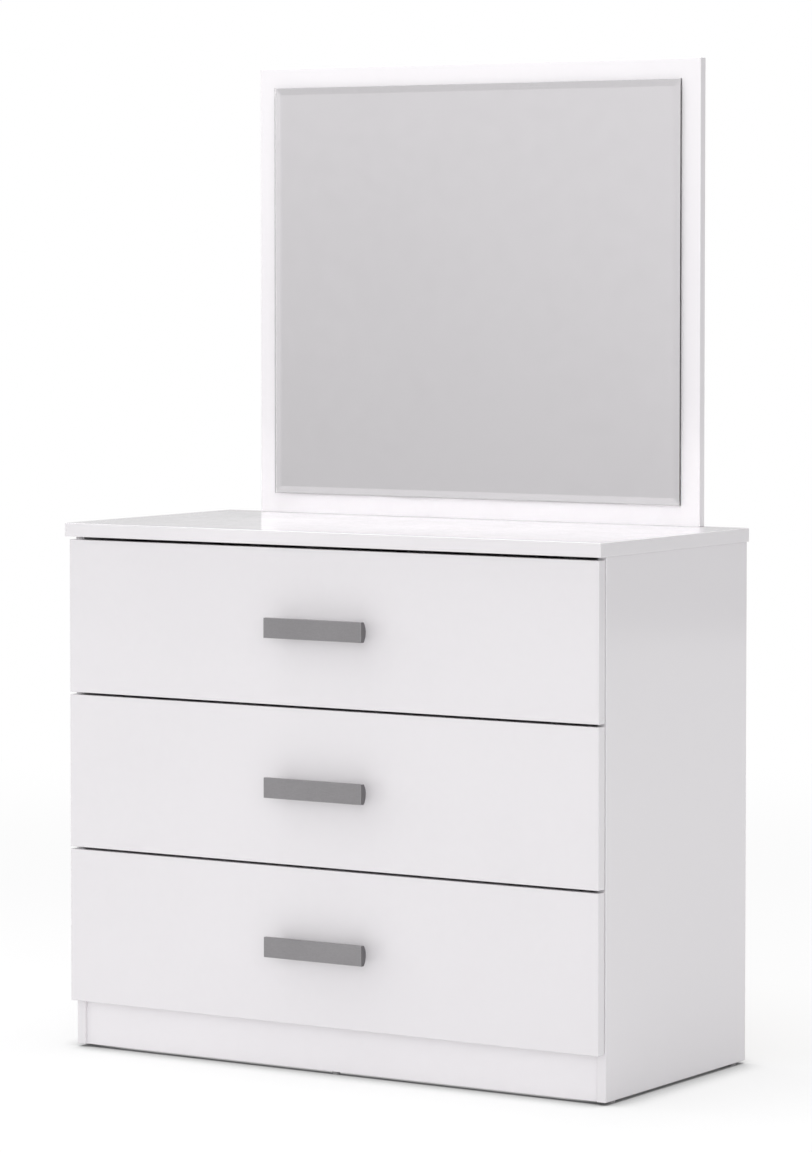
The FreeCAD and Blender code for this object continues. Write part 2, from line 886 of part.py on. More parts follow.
def build_carcass(nodes):
    """Adds the boards, the back, the glides and the fittings of the chest."""
    cams = carcass_cams()
    dowels = carcass_dowels()
    nails = back_nails()
    glides = floor_glides()
    screws = runner_screws()
    straps = strap_screws()
    board_holes = cams.holes + dowels.holes + nails.holes + glides.holes
    left_side = drilled(edged_board(side_x, side_y, side_z), board_holes + screws.holes)
    nodes["left_side_panel"] = left_side
    nodes["right_side_panel"] = mirrored(left_side)
    top_x = centred(carcass_width + 2 * top_side_overhang)
    top_y = (side_front_y - top_front_overhang, side_back_y)
    top = edged_board(top_x, top_y, from_low(side_top_z, top_thickness))
    nodes["top_panel"] = drilled(top, board_holes)
    nodes["bottom_panel"] = drilled(block(inner_x, side_y, bottom_z), board_holes)
    nodes["front_plinth"] = drilled(block(inner_x, front_plinth_y, plinth_z), board_holes)
    nodes["rear_plinth"] = drilled(block(inner_x, rear_board_y, plinth_z), board_holes)
    rail = block(inner_x, rear_board_y, rail_z)
    nodes["rear_top_rail"] = drilled(rail, board_holes + straps.holes)
    back = block(
        centred(carcass_width - 2 * back_side_inset),
        from_low(side_back_y, hardboard),
        (side_foot_z + back_foot_inset, side_top_z + back_top_lap),
    )
    nodes["back_panel"] = drilled(back, nails.holes + straps.holes)
    nodes["back_panel_nails"] = Part.makeCompound(nails.solids)
    nodes["carcass_dowels"] = Part.makeCompound(dowels.solids)
    nodes["carcass_cam_fittings"] = Part.makeCompound(cams.solids)
    nodes["floor_glides"] = Part.makeCompound(glides.solids)
    nodes["runner_screws"] = Part.makeCompound(screws.solids)
    for number, name in enumerate(drawer_names):
        axle = placed(front_axle(), front_roller_place(number), RIGHT, UP)
        channel = drilled(runner_channel(number).fuse(axle), screws.holes)
        nodes[name + "_left_runner"] = channel
        nodes[name + "_right_runner"] = mirrored(channel)
    build_mirror(nodes, dowels, straps)


def build_mirror(nodes, dowels, straps):
    """Adds the mirror board, its glass and the straps that hold it."""
    mirror_board = edged_board(
        centred(mirror_width), (mirror_front_y, mirror_back_y), from_low(top_z, mirror_height)
    )
    nodes["mirror_board"] = drilled(mirror_board, dowels.holes + straps.holes)
    nodes["mirror_glass"] = mirror_glass()
    nodes["mirror_tape"] = Part.makeCompound(mirror_tape())
    pair = [drilled(mirror_strap(x), straps.holes) for x in centred(strap_spacing)]
    nodes["mirror_straps"] = Part.makeCompound(pair)
    nodes["mirror_strap_screws"] = Part.makeCompound(straps.solids)


def build_drawer(nodes, number, name):
    """Adds one drawer, its handle, its rails and the rollers that it runs on."""
    fixings = drawer_fixings(number)
    screws = handle_screws(number)
    prefix = name + "_drawer_"
    nodes[prefix + "front"] = drawer_front(number, fixings.holes + screws.holes)
    left_side = drawer_side(number, fixings.holes)
    nodes[prefix + "left_side"] = left_side
    nodes[prefix + "right_side"] = mirrored(left_side)
    nodes[prefix + "back"] = drawer_back(number, fixings.holes)
    nodes[prefix + "bottom"] = drawer_bottom(number, fixings.holes)
    nodes[prefix + "handle"] = drawer_handle(number, screws.holes)
    nodes[prefix + "handle_screws"] = Part.makeCompound(screws.solids)
    nodes[prefix + "fixings"] = Part.makeCompound(fixings.solids)
    axle = placed(front_axle(), rear_roller_place(number), LEFT, UP)
    rail = drilled(drawer_rail(number).fuse(axle), fixings.holes)
    nodes[prefix + "left_rail"] = rail
    nodes[prefix + "right_rail"] = mirrored(rail)
    front_roller = placed(roller(), front_roller_place(number), RIGHT, UP)
    nodes[name + "_front_rollers"] = Part.makeCompound(with_mirrored([front_roller]))
    rear_roller = placed(roller(), rear_roller_place(number), LEFT, UP)
    nodes[name + "_rear_rollers"] = Part.makeCompound(with_mirrored([rear_roller]))


def build():
    """Makes every node and writes each to its own file."""
    nodes = {}
    build_carcass(nodes)
    for number, name in enumerate(drawer_names):
        build_drawer(nodes, number, name)
    os.makedirs("parts", exist_ok=True)
    for name, shape in nodes.items():
        shape.exportStep("parts/" + name + ".step")
    print(len(nodes), "nodes")


build()
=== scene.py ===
"""Finishes, studio and camera of a dressing table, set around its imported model.

The boards, runners, handles and fasteners are the solids of the model and get their finishes
here. The mirror glass is built anew as a ground and bevelled pane with a silvered back. All
lengths are metres: X runs to the right as one faces the drawers, Y to the back and Z up.
"""

import logging
import math
from collections.abc import Iterable, Mapping
from dataclasses import dataclass
from enum import Enum
from typing import ClassVar

import bmesh
import bpy
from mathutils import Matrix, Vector


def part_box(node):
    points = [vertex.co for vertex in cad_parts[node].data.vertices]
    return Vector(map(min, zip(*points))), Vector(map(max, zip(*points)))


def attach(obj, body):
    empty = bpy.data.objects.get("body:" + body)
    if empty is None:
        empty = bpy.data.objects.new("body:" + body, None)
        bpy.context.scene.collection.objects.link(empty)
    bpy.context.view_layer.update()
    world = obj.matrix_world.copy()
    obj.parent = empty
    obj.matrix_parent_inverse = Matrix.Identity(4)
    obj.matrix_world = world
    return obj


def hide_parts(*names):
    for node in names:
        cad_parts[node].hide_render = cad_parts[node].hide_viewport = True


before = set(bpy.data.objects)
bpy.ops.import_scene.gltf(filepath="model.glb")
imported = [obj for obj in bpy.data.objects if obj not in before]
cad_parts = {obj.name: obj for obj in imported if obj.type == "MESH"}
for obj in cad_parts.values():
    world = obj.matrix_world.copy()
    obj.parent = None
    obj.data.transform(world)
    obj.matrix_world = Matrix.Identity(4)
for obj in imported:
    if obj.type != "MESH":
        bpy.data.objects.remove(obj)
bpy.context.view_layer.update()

log = logging.getLogger("dressing_table")
Triple = tuple[float, float, float]
Colour = Triple
Span = tuple[float, float]
Value = float | Colour | bpy.types.NodeSocket

MM = 0.001
WHOLE = (0.0, 1.0)
WHITE = (1.0, 1.0, 1.0)
NOISE_MEAN = 0.5
CLOUD_SPAN = (0.3, 0.7)


# Node trees


class Graph:
    """Adds nodes to one node tree and joins their sockets."""

    def __init__(self, tree: bpy.types.NodeTree) -> None:
        """Takes the tree that the nodes go into.

        Args:
            tree: The node tree of a material, a world or a group.
        """
        self.tree = tree

    def feed(self, socket: bpy.types.NodeSocket, value: Value) -> None:
        """Links a socket to an input, or sets the input to a constant.

        Args:
            socket: The input to fill.
            value: An output socket, a number or a colour.
        """
        if isinstance(value, bpy.types.NodeSocket):
            self.tree.links.new(value, socket)
        elif isinstance(value, tuple) and socket.type == "RGBA":
            socket.default_value = (*value, 1.0)
        else:
            socket.default_value = value

    def add(
        self, kind: str, inputs: Mapping[str | int, Value] | None = None, **settings: object
    ) -> bpy.types.Node:
        """Adds one node.

        Args:
            kind: Blender's name for the kind of node.
            inputs: Values or links for its inputs, by name or number.
            settings: Values for the node's own properties.

        Returns:
            The new node.
        """
        node = self.tree.nodes.new(kind)
        for name, value in settings.items():
            setattr(node, name, value)
        for name, value in (inputs or {}).items():
            self.feed(node.inputs[name], value)
        return node

    def calc(self, operation: str, *values: Value) -> bpy.types.NodeSocket:
        """Does one step of arithmetic.

        Args:
            operation: Blender's name for the operation.
            values: One to three numbers or sockets.

        Returns:
            The result's socket.
        """
        node = self.add("ShaderNodeMath", dict(enumerate(values)), operation=operation)
        return node.outputs[0]

    def dot(self, first: Value, second: Value) -> bpy.types.NodeSocket:
        """Gives the dot product of two vectors.

        Args:
            first: One vector.
            second: The other vector.

        Returns:
            The product's socket.
        """
        node = self.add("ShaderNodeVectorMath", {0: first, 1: second}, operation="DOT_PRODUCT")
        return node.outputs["Value"]

    def remap(self, value: Value, source: Span, target: Span) -> bpy.types.NodeSocket:
        """Maps one range smoothly onto another and stays inside it.

        Args:
            value: The number to map.
            source: The range that it comes from.
            target: The range that it goes to.

        Returns:
            The mapped number's socket.
        """
        node = self.add(
            "ShaderNodeMapRange",
            {0: value, 1: source[0], 2: source[1], 3: target[0], 4: target[1]},
            interpolation_type="SMOOTHSTEP",
        )
        return node.outputs[0]

    def blend(self, share: Value, first: Value, second: Value) -> bpy.types.NodeSocket:
        """Mixes two colours.

        Args:
            share: How much of the second colour shows, from 0 to 1.
            first: The colour at 0.
            second: The colour at 1.

        Returns:
            The mixed colour's socket.
        """
        node = self.add("ShaderNodeMix", {0: share, 6: first, 7: second}, data_type="RGBA")
        return node.outputs[2]

    def noise(
        self, place: Value, scale: float, detail: float = 2.0, roughness: float = 0.5
    ) -> bpy.types.NodeSocket:
        """Adds cloud noise.

        Args:
            place: The coordinates that it follows.
            scale: Features to the metre.
            detail: Number of finer octaves.
            roughness: Weight of the finer octaves.

        Returns:
            The socket of a value from 0 to 1.
        """
        node = self.add(
            "ShaderNodeTexNoise",
            {"Vector": place, "Scale": scale, "Detail": detail, "Roughness": roughness},
        )
        return node.outputs[0]

    def stretched(self, place: Value, scale: Triple) -> bpy.types.NodeSocket:
        """Stretches or squeezes coordinates along the axes.

        Args:
            place: The coordinates.
            scale: The factor along each axis.

        Returns:
            The new coordinates' socket.
        """
        node = self.add("ShaderNodeMapping", {"Vector": place, "Scale": scale})
        return node.outputs[0]

    def object_place(self) -> bpy.types.NodeSocket:
        """Gives coordinates in metres that stay with the piece."""
        return self.add("ShaderNodeTexCoord").outputs["Object"]

    def normal_parts(self) -> tuple[bpy.types.NodeSocket, ...]:
        """Gives the three parts of the surface's normal in the piece's own frame."""
        normal = self.add("ShaderNodeTexCoord").outputs["Normal"]
        return tuple(self.add("ShaderNodeSeparateXYZ", {0: normal}).outputs)


# Effects that several finishes share


class Effect:
    """A group of nodes that is built once and placed in each finish with its own values."""

    title: ClassVar[str]
    takes: ClassVar[dict[str, float]]
    gives: ClassVar[tuple[str, ...]]

    @classmethod
    def fill(cls, graph: Graph, entry: bpy.types.Node) -> dict[str, bpy.types.NodeSocket]:
        """Builds the inside of the group.

        Args:
            graph: The group's own tree.
            entry: The node that holds the group's inputs.

        Returns:
            The socket for each output.
        """
        raise NotImplementedError

    @classmethod
    def tree(cls) -> bpy.types.NodeTree:
        """Finds the group, or builds it on first use."""
        found = bpy.data.node_groups.get(cls.title)
        if found is not None:
            return found
        tree = bpy.data.node_groups.new(cls.title, "ShaderNodeTree")
        for name, value in cls.takes.items():
            socket = tree.interface.new_socket(name, in_out="INPUT", socket_type="NodeSocketFloat")
            socket.default_value = value
        for name in cls.gives:
            tree.interface.new_socket(name, in_out="OUTPUT", socket_type="NodeSocketFloat")
        graph = Graph(tree)
        results = cls.fill(graph, graph.add("NodeGroupInput"))
        graph.add("NodeGroupOutput", results)
        return tree

    @classmethod
    def place(cls, graph: Graph, **values: float) -> bpy.types.Node:
        """Places the group in a finish.

        Args:
            graph: The finish's tree.
            values: Numbers for the group's inputs.

        Returns:
            The group's node.
        """
        node = graph.add("ShaderNodeGroup", node_tree=cls.tree())
        for name, value in values.items():
            graph.feed(node.inputs[name], value)
        return node


class Mottle(Effect):
    """Cloudy unevenness of a coated surface: broad patches with finer ones on them."""

    title = "mottle"
    takes = {"broad": 3.0, "fine": 60.0, "fine_share": 0.5}
    gives = ("value",)

    @classmethod
    def fill(cls, graph: Graph, entry: bpy.types.Node) -> dict[str, bpy.types.NodeSocket]:
        """Adds two noises of different size."""
        place = graph.object_place()
        broad = graph.noise(place, entry.outputs["broad"], detail=3.0)
        fine = graph.noise(place, entry.outputs["fine"], detail=4.0, roughness=0.6)
        balanced = graph.calc("SUBTRACT", fine, NOISE_MEAN)
        return {"value": graph.calc("MULTIPLY_ADD", balanced, entry.outputs["fine_share"], broad)}


class CoatSkin(Effect):
    """Height of a sprayed or pressed coat: orange peel over long, shallow waves."""

    title = "coat_skin"
    takes = {"peel": 420.0, "wave": 9.0, "wave_share": 0.5}
    gives = ("height",)

    @classmethod
    def fill(cls, graph: Graph, entry: bpy.types.Node) -> dict[str, bpy.types.NodeSocket]:
        """Adds the peel to the waves."""
        place = graph.object_place()
        peel = graph.noise(place, entry.outputs["peel"], detail=1.0)
        wave = graph.noise(place, entry.outputs["wave"], detail=1.0)
        return {"height": graph.calc("MULTIPLY_ADD", wave, entry.outputs["wave_share"], peel)}


class EdgeWear(Effect):
    """Mask of the corners and edges that hands and cloths rub, broken up by noise."""

    title = "edge_wear"
    takes = {"reach": 1.5 * MM, "breakup": 90.0}
    gives = ("mask",)
    bend_span: ClassVar[Span] = (1.0, 0.8)
    broken_share: ClassVar[Span] = (0.25, 1.0)

    @classmethod
    def fill(cls, graph: Graph, entry: bpy.types.Node) -> dict[str, bpy.types.NodeSocket]:
        """Compares the true normal with one that is rounded over the edges."""
        rounded = graph.add("ShaderNodeBevel", {"Radius": entry.outputs["reach"]}, samples=4)
        true = graph.add("ShaderNodeNewGeometry").outputs["Normal"]
        bend = graph.remap(graph.dot(rounded.outputs[0], true), cls.bend_span, WHOLE)
        noise = graph.noise(graph.object_place(), entry.outputs["breakup"], detail=3.0, roughness=0.6)
        breakup = graph.remap(noise, CLOUD_SPAN, cls.broken_share)
        return {"mask": graph.calc("MULTIPLY", bend, breakup)}


class DustFilm(Effect):
    """Mask of the thin dust on whatever faces up."""

    title = "dust_film"
    takes = {"amount": 1.0, "size": 150.0}
    gives = ("mask",)
    upward_span: ClassVar[Span] = (0.6, 1.0)
    speck_span: ClassVar[Span] = (0.4, 0.75)
    speck_share: ClassVar[Span] = (0.2, 1.0)

    @classmethod
    def fill(cls, graph: Graph, entry: bpy.types.Node) -> dict[str, bpy.types.NodeSocket]:
        """Keeps the noise to the upper faces."""
        upward = graph.remap(graph.normal_parts()[2], cls.upward_span, WHOLE)
        specks = graph.noise(graph.object_place(), entry.outputs["size"], detail=5.0, roughness=0.7)
        film = graph.calc("MULTIPLY", upward, graph.remap(specks, cls.speck_span, cls.speck_share))
        return {"mask": graph.calc("MULTIPLY", film, entry.outputs["amount"])}


class PressedFibre(Effect):
    """Short crossed fibres of pressed board, as a value and as a height."""

    title = "pressed_fibre"
    takes = {"across": 900.0, "along": 120.0}
    gives = ("value", "height")
    stretches: ClassVar[tuple[Triple, ...]] = ((1.0, 0.15, 0.15), (0.15, 0.15, 1.0))

    @classmethod
    def fill(cls, graph: Graph, entry: bpy.types.Node) -> dict[str, bpy.types.NodeSocket]:
        """Crosses two noises that are stretched along different axes."""
        place = graph.object_place()
        layers = []
        for stretch in cls.stretches:
            laid = graph.stretched(place, stretch)
            layers.append(graph.noise(laid, entry.outputs["across"], detail=4.0, roughness=0.7))
        crossed = graph.calc("MAXIMUM", *layers)
        clump = graph.noise(place, entry.outputs["along"], detail=3.0)
        return {"value": graph.calc("MULTIPLY", crossed, clump), "height": crossed}


class BrushLines(Effect):
    """Fine straight lines of a brushed metal face, along X."""

    title = "brush_lines"
    takes = {"count": 5200.0, "length": 0.012}
    gives = ("value",)

    @classmethod
    def fill(cls, graph: Graph, entry: bpy.types.Node) -> dict[str, bpy.types.NodeSocket]:
        """Stretches noise along X until it makes lines."""
        parts = graph.add("ShaderNodeSeparateXYZ", {0: graph.object_place()}).outputs
        squeezed = graph.calc("MULTIPLY", parts["X"], entry.outputs["length"])
        lines = graph.add("ShaderNodeCombineXYZ", {0: squeezed, 1: parts["Y"], 2: parts["Z"]})
        count = entry.outputs["count"]
        return {"value": graph.noise(lines.outputs[0], count, detail=3.0, roughness=0.7)}


# Finishes


class Facing(Enum):
    """The way that the printed side of a hardboard panel faces."""

    FRONT = (0.0, -1.0, 0.0)
    UP = (0.0, 0.0, 1.0)


@dataclass(frozen=True)
class Finish:
    """What all finishes have: a name, clouds, rubbed edges and a skin.

    Clouds, breakup, peel and waves are counted in patches to the metre. The edges' reach and the
    relief of the skin are metres. Roughness goes from the clear to the clouded places.
    """

    name: str
    broad: float = 3.0
    fine: float = 60.0
    edge_reach: float = 1.5 * MM
    edge_breakup: float = 90.0
    peel: float = 420.0
    wave: float = 9.0
    relief: float = 0.02 * MM
    roughness: Span = (0.3, 0.4)

    def shade(self, graph: Graph, surface: bpy.types.Node) -> None:
        """Fills the surface's inputs.

        Args:
            graph: The material's tree.
            surface: The Principled BSDF of the material.
        """
        raise NotImplementedError

    def material(self) -> bpy.types.Material:
        """Finds the material, or makes it on first use."""
        found = bpy.data.materials.get(self.name)
        if found is not None:
            return found
        made = bpy.data.materials.new(self.name)
        made.use_nodes = True
        graph = Graph(made.node_tree)
        self.shade(graph, made.node_tree.nodes["Principled BSDF"])
        return made

    def clouds(self, graph: Graph) -> bpy.types.NodeSocket:
        """Adds the finish's clouds."""
        return Mottle.place(graph, broad=self.broad, fine=self.fine).outputs["value"]

    def rubbed_edges(self, graph: Graph) -> bpy.types.NodeSocket:
        """Adds the mask of the finish's rubbed edges."""
        wear = EdgeWear.place(graph, reach=self.edge_reach, breakup=self.edge_breakup)
        return wear.outputs["mask"]

    def skin(self, graph: Graph) -> bpy.types.NodeSocket:
        """Adds the height of the finish's skin."""
        return CoatSkin.place(graph, peel=self.peel, wave=self.wave).outputs["height"]

    def emboss(self, graph: Graph, surface: bpy.types.Node, height: Value) -> None:
        """Puts a height into the surface's normal, as deep as the relief.

        Args:
            graph: The material's tree.
            surface: The Principled BSDF.
            height: The height, from 0 to 1.
        """
        bump = graph.add("ShaderNodeBump", {"Height": height, "Distance": self.relief, "Strength": 1.0})
        graph.feed(surface.inputs["Normal"], bump.outputs[0])


@dataclass(frozen=True)
class CoatedBoard(Finish):
    """Lacquered or melamine-faced board whose white changes with the way that each face points.

    What faces along X gets a white of its own, painted light where it is paler and painted shade
    where it is darker. Where it is set, what faces along Y gets a darker white as painted shade.
    """

    broad: float = 2.6
    fine: float = 55.0
    relief: float = 0.012 * MM
    roughness: Span = (0.07, 0.11)
    tint: Colour = (0.720, 0.702, 0.720)
    shaded: Colour = (0.709, 0.691, 0.709)
    rubbed: Colour = (0.67, 0.655, 0.67)
    sideways_painted_shading: Colour = (0.79, 0.77, 0.79)
    forward_painted_shade: Colour | None = None
    facing_span: Span = (0.6, 0.9)
    wear: float = 0.35
    worn_roughness: float = 0.15
    dust: float = 0.25
    dust_roughness: float = 0.12

    def shade(self, graph: Graph, surface: bpy.types.Node) -> None:
        """Clouds the white, paints light and shade by the way that each face points, rubs the edges and
        lays dust on top.
        """
        cloud, edge = self.clouds(graph), self.rubbed_edges(graph)
        dust = DustFilm.place(graph, amount=self.dust).outputs["mask"]
        colour = graph.blend(graph.remap(cloud, CLOUD_SPAN, WHOLE), self.tint, self.shaded)
        # Painted light and shade: faces that point along X, and along Y where set, get whites of their
        # own.
        sideways, forward = (graph.calc("ABSOLUTE", part) for part in graph.normal_parts()[:2])
        colour = graph.blend(graph.remap(sideways, self.facing_span, WHOLE), colour, self.sideways_painted_shading)
        if self.forward_painted_shade is not None:
            colour = graph.blend(graph.remap(forward, self.facing_span, WHOLE), colour, self.forward_painted_shade)
        colour = graph.blend(graph.calc("MULTIPLY", edge, self.wear), colour, self.rubbed)
        graph.feed(surface.inputs["Base Color"], colour)
        rough = graph.remap(cloud, CLOUD_SPAN, self.roughness)
        rough = graph.calc("MULTIPLY_ADD", dust, self.dust_roughness, rough)
        rough = graph.calc("MULTIPLY_ADD", edge, self.worn_roughness, rough)
        graph.feed(surface.inputs["Roughness"], rough)
        self.emboss(graph, surface, self.skin(graph))


@dataclass(frozen=True)
class Hardboard(Finish):
    """Thin pressed board: white print on one side, bare brown fibre on the other."""

    broad: float = 5.0
    fine: float = 120.0
    relief: float = 0.08 * MM
    printed_side: Facing = Facing.FRONT
    printed_span: Span = (0.4, 0.6)
    print_tint: Colour = (0.82, 0.81, 0.80)
    print_clouding: float = 0.12
    print_roughness: float = 0.5
    fibre_light: Colour = (0.40, 0.26, 0.15)
    fibre_dark: Colour = (0.22, 0.13, 0.07)
    fibre_span: Span = (0.15, 0.45)
    fibre_roughness: float = 0.8

    def shade(self, graph: Graph, surface: bpy.types.Node) -> None:
        """Chooses print or fibre by the way that the surface faces."""
        fibre = PressedFibre.place(graph)
        lightness = graph.remap(fibre.outputs["value"], self.fibre_span, WHOLE)
        brown = graph.blend(lightness, self.fibre_dark, self.fibre_light)
        clouding = graph.calc("MULTIPLY", self.clouds(graph), self.print_clouding)
        white = graph.blend(clouding, self.print_tint, self.fibre_light)
        normal = graph.add("ShaderNodeTexCoord").outputs["Normal"]
        towards = graph.dot(normal, self.printed_side.value)
        printed = graph.remap(towards, self.printed_span, WHOLE)
        graph.feed(surface.inputs["Base Color"], graph.blend(printed, brown, white))
        rough = graph.remap(printed, WHOLE, (self.fibre_roughness, self.print_roughness))
        graph.feed(surface.inputs["Roughness"], rough)
        self.emboss(graph, surface, fibre.outputs["height"])


@dataclass(frozen=True)
class PlatedSteel(Finish):
    """Bright zinc plating with its faint uneven passivation."""

    broad: float = 90.0
    fine: float = 900.0
    edge_reach: float = 0.6 * MM
    edge_breakup: float = 600.0
    peel: float = 2600.0
    wave: float = 200.0
    relief: float = 0.01 * MM
    roughness: Span = (0.22, 0.42)
    bright: Colour = (0.72, 0.73, 0.75)
    dull: Colour = (0.52, 0.52, 0.50)
    dull_span: Span = (0.3, 0.75)

    def shade(self, graph: Graph, surface: bpy.types.Node) -> None:
        """Clouds the metal and rubs its edges bright."""
        cloud = self.clouds(graph)
        colour = graph.blend(graph.remap(cloud, self.dull_span, WHOLE), self.bright, self.dull)
        colour = graph.blend(self.rubbed_edges(graph), colour, self.bright)
        graph.feed(surface.inputs["Base Color"], colour)
        graph.feed(surface.inputs["Roughness"], graph.remap(cloud, CLOUD_SPAN, self.roughness))
        surface.inputs["Metallic"].default_value = 1.0
        self.emboss(graph, surface, self.skin(graph))


@dataclass(frozen=True)
class SatinMetal(Finish):
    """Satin grey metal of the handles, brushed along its length, with painted shade darkening its ends.
    """

    broad: float = 14.0
    fine: float = 260.0
    edge_reach: float = 0.7 * MM
    edge_breakup: float = 300.0
    relief: float = 0.01 * MM
    roughness: Span = (0.42, 0.32)
    light: Colour = (0.320, 0.310, 0.320)
    dark: Colour = (0.258, 0.251, 0.258)
    worn: Colour = (0.42, 0.41, 0.42)
    painted_end_shade: Colour = (0.18, 0.175, 0.18)
    line_share: float = 0.7
    end_span: Span = (0.7, 0.95)
    wear: float = 0.4

    def shade(self, graph: Graph, surface: bpy.types.Node) -> None:
        """Draws the brushing in colour, roughness and height."""
        lines = BrushLines.place(graph).outputs["value"]
        drawn = graph.calc("MULTIPLY", lines, self.line_share)
        stripe = graph.calc("MULTIPLY_ADD", self.clouds(graph), 1.0 - self.line_share, drawn)
        colour = graph.blend(graph.remap(stripe, CLOUD_SPAN, WHOLE), self.dark, self.light)
        # Painted shade: the faces at the handle's ends, which point along X, are darkened.
        sideways = graph.calc("ABSOLUTE", graph.normal_parts()[0])
        colour = graph.blend(graph.remap(sideways, self.end_span, WHOLE), colour, self.painted_end_shade)
        worn = graph.calc("MULTIPLY", self.rubbed_edges(graph), self.wear)
        graph.feed(surface.inputs["Base Color"], graph.blend(worn, colour, self.worn))
        graph.feed(surface.inputs["Roughness"], graph.remap(stripe, CLOUD_SPAN, self.roughness))
        surface.inputs["Metallic"].default_value = 1.0
        self.emboss(graph, surface, lines)


@dataclass(frozen=True)
class Enamel(Finish):
    """Stoved white enamel on the sheet steel of the runners, scuffed at its edges."""

    broad: float = 12.0
    fine: float = 200.0
    edge_reach: float = 0.5 * MM
    edge_breakup: float = 260.0
    peel: float = 900.0
    wave: float = 60.0
    relief: float = 0.02 * MM
    roughness: Span = (0.22, 0.34)
    tint: Colour = (0.84, 0.835, 0.82)
    scuffed: Colour = (0.55, 0.54, 0.52)
    clouding: float = 0.08
    wear: float = 0.5

    def shade(self, graph: Graph, surface: bpy.types.Node) -> None:
        """Rubs the edges and leaves the coat slightly waved."""
        cloud = self.clouds(graph)
        colour = graph.blend(graph.calc("MULTIPLY", cloud, self.clouding), self.tint, self.scuffed)
        worn = graph.calc("MULTIPLY", self.rubbed_edges(graph), self.wear)
        graph.feed(surface.inputs["Base Color"], graph.blend(worn, colour, self.scuffed))
        graph.feed(surface.inputs["Roughness"], graph.remap(cloud, CLOUD_SPAN, self.roughness))
        self.emboss(graph, surface, self.skin(graph))


@dataclass(frozen=True)
class MouldedPlastic(Finish):
    """Moulded plastic of the rollers and glides."""

    broad: float = 60.0
    fine: float = 900.0
    edge_reach: float = 0.6 * MM
    edge_breakup: float = 500.0
    peel: float = 3000.0
    wave: float = 300.0
    relief: float = 0.015 * MM
    roughness: Span = (0.38, 0.5)
    tint: Colour = (0.82, 0.82, 0.80)
    scuffed: Colour = (0.62, 0.61, 0.58)
    clouding: float = 0.15
    wear: float = 0.35

    def shade(self, graph: Graph, surface: bpy.types.Node) -> None:
        """Gives the mould's fine grain and a little rubbing."""
        cloud = self.clouds(graph)
        clouding = graph.calc("MULTIPLY", cloud, self.clouding)
        share = graph.calc("MULTIPLY_ADD", self.rubbed_edges(graph), self.wear, clouding)
        graph.feed(surface.inputs["Base Color"], graph.blend(share, self.tint, self.scuffed))
        graph.feed(surface.inputs["Roughness"], graph.remap(cloud, CLOUD_SPAN, self.roughness))
        self.emboss(graph, surface, self.skin(graph))


@dataclass(frozen=True)
class Beech(Finish):
    """Turned beech of the dowels, with its grain along X and short rays."""

    relief: float = 0.05 * MM
    roughness: Span = (0.7, 0.55)
    light: Colour = (0.70, 0.54, 0.36)
    dark: Colour = (0.52, 0.36, 0.21)
    light_span: Span = (0.35, 0.65)
    grain_stretch: Triple = (0.12, 1.0, 1.0)
    grain_count: float = 1400.0
    ray_stretch: Triple = (0.4, 1.0, 0.3)
    ray_count: float = 3600.0
    ray_share: float = 0.35

    def shade(self, graph: Graph, surface: bpy.types.Node) -> None:
        """Stretches the grain along the dowel."""
        place = graph.object_place()
        along, across = (graph.stretched(place, s) for s in (self.grain_stretch, self.ray_stretch))
        grain = graph.noise(along, self.grain_count, detail=4.0, roughness=0.6)
        rays = graph.noise(across, self.ray_count)
        grained = graph.calc("MULTIPLY", grain, 1.0 - self.ray_share)
        figure = graph.calc("MULTIPLY_ADD", rays, self.ray_share, grained)
        share = graph.remap(figure, self.light_span, WHOLE)
        graph.feed(surface.inputs["Base Color"], graph.blend(share, self.dark, self.light))
        graph.feed(surface.inputs["Roughness"], graph.remap(figure, CLOUD_SPAN, self.roughness))
        self.emboss(graph, surface, figure)


@dataclass(frozen=True)
class Foam(Finish):
    """Closed-cell foam of the mounting tape."""

    relief: float = 0.1 * MM
    roughness: Span = (0.85, 0.7)
    tint: Colour = (0.78, 0.78, 0.76)
    pores: Colour = (0.55, 0.55, 0.53)
    cell_count: float = 2200.0
    pore_span: Span = (0.5, 0.1)
    wall_span: Span = (0.0, 0.6)

    def shade(self, graph: Graph, surface: bpy.types.Node) -> None:
        """Pits the foam with small cells."""
        cells = graph.add(
            "ShaderNodeTexVoronoi", {"Vector": graph.object_place(), "Scale": self.cell_count}
        ).outputs["Distance"]
        share = graph.remap(cells, self.pore_span, WHOLE)
        graph.feed(surface.inputs["Base Color"], graph.blend(share, self.tint, self.pores))
        graph.feed(surface.inputs["Roughness"], graph.remap(cells, self.wall_span, self.roughness))
        self.emboss(graph, surface, cells)


@dataclass(frozen=True)
class FloatGlass(Finish):
    """Clear float glass with polished faces and finely ground edges."""

    broad: float = 7.0
    fine: float = 300.0
    peel: float = 2.0
    wave: float = 1.0
    relief: float = 0.02 * MM
    roughness: Span = (0.0, 0.018)
    tint: Colour = (0.987, 0.986, 0.987)
    edge_tint: Colour = (0.86, 0.90, 0.88)
    streak_span: Span = (0.35, 0.8)
    ground_span: Span = (0.5, 0.2)
    ground_roughness: float = 0.3
    refraction: float = 1.52

    def shade(self, graph: Graph, surface: bpy.types.Node) -> None:
        """Polishes the faces and the bevel and grinds what faces sideways."""
        flatness = graph.calc("ABSOLUTE", graph.normal_parts()[1])
        ground = graph.remap(flatness, self.ground_span, WHOLE)
        graph.feed(surface.inputs["Base Color"], graph.blend(ground, self.tint, self.edge_tint))
        film = graph.remap(self.clouds(graph), self.streak_span, self.roughness)
        rough = graph.calc("MULTIPLY_ADD", ground, self.ground_roughness, film)
        graph.feed(surface.inputs["Roughness"], rough)
        surface.inputs["Transmission Weight"].default_value = 1.0
        surface.inputs["IOR"].default_value = self.refraction
        self.emboss(graph, surface, self.skin(graph))


